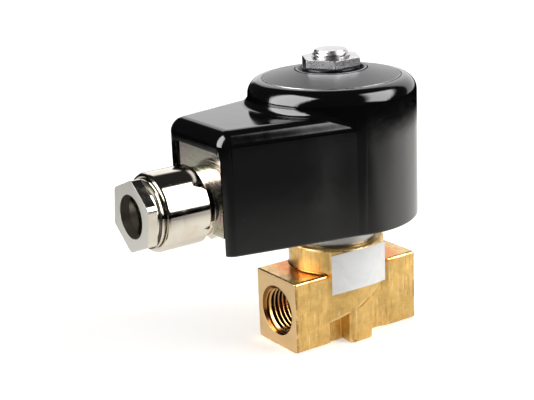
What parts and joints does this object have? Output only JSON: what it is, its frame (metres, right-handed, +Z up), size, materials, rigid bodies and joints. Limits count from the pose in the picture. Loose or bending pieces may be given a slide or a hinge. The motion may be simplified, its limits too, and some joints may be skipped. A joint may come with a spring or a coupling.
{
  "type": "solenoid valve",
  "caption": "Solenoid valve with a forged brass body, threaded ports, a black coil housing with a terminal box and a cable gland, held by a thin hexagon nut.",
  "frame": {"origin": "on the armature axis, at the underside of the brass body", "axes": "+Z up the armature axis to the stud; +X along the ports to the outlet; the cable gland looks along -X"},
  "size_m": [0.0851, 0.0452, 0.0789],
  "materials": {
    "forged_brass": "satin",
    "rubber": "matte",
    "stainless": "satin",
    "ring_steel": "satin",
    "copper": "satin",
    "yoke_steel": "satin",
    "bobbin_plastic": "matte",
    "tape": "matte",
    "black_enamel": "gloss",
    "grey_anodised": "satin",
    "zinc_steel": "satin",
    "yellow_zinc": "satin",
    "block_plastic": "satin",
    "clamp_brass": "satin",
    "lead_insulation": "satin",
    "nickel_plate": "polished"
  },
  "bodies": {
    "valve_base": {"valve_body": "forged_brass", "body_o_ring": "rubber", "armature_tube": "stainless", "screw_ring": "ring_steel", "fixed_core": "stainless", "shading_ring": "copper", "plunger_spring": "stainless"},
    "plunger": {"plunger": "stainless", "plunger_seal": "rubber"},
    "coil_unit": {"bottom_cover": "yoke_steel", "yoke_frame": "yoke_steel", "yoke_top_plate": "yoke_steel", "coil_bobbin": "bobbin_plastic", "coil_winding": "copper", "winding_tape": "tape", "spacer_bush": "yoke_steel", "housing_shell": "black_enamel", "nameplate": "grey_anodised", "dish_washer": "zinc_steel", "gland_bracket": "yellow_zinc", "terminal_block": "block_plastic", "terminal_clamps": "clamp_brass", "terminal_screws": "zinc_steel", "block_screws": "zinc_steel", "earth_screw": "zinc_steel", "earth_washer": "zinc_steel", "coil_leads": "lead_insulation", "gland_body": "nickel_plate", "gland_seal_washer": "yellow_zinc", "gland_lock_nut": "nickel_plate", "gland_grommet": "rubber"},
    "top_washer": {"lock_washer": "zinc_steel"},
    "top_nut": {"top_nut": "zinc_steel"},
    "gland_follower": {"gland_thrust_washer": "nickel_plate"},
    "gland_nut": {"gland_nut": "nickel_plate"}
  },
  "joints": [
    {"name": "plunger_lift", "type": "slide", "parent": "valve_base", "child": "plunger", "axis": [0, 0, 1], "range_m": [0, 0.0012], "stiffness_N_per_m": 2900, "springref_m": -0.0012, "deforming": ["plunger_spring"]},
    {"name": "coil_swivel", "type": "hinge", "parent": "valve_base", "child": "coil_unit", "pos_m": [0, 0, 0.0337], "axis": [0, 0, 1], "continuous": true},
    {"name": "top_nut_lift", "type": "slide", "parent": "valve_base", "child": "top_washer", "axis": [0, 0, 1], "range_m": [0, 0.002]},
    {"name": "top_nut_turn", "type": "hinge", "parent": "top_washer", "child": "top_nut", "pos_m": [0, 0, 0.0757], "axis": [0, 0, 1], "range_deg": [0, 720]},
    {"name": "gland_nut_out", "type": "slide", "parent": "coil_unit", "child": "gland_follower", "axis": [-1, 0, 0], "range_m": [0, 0.003]},
    {"name": "gland_nut_turn", "type": "hinge", "parent": "gland_follower", "child": "gland_nut", "pos_m": [-0.0575, 0, 0.04553], "axis": [-1, 0, 0], "range_deg": [0, 720]}
  ],
  "couplings": [
    {"joint": "top_nut_turn", "follows": "top_nut_lift", "rad_per_m": 6283.1},
    {"joint": "gland_nut_turn", "follows": "gland_nut_out", "rad_per_m": 4188.7}
  ]
}
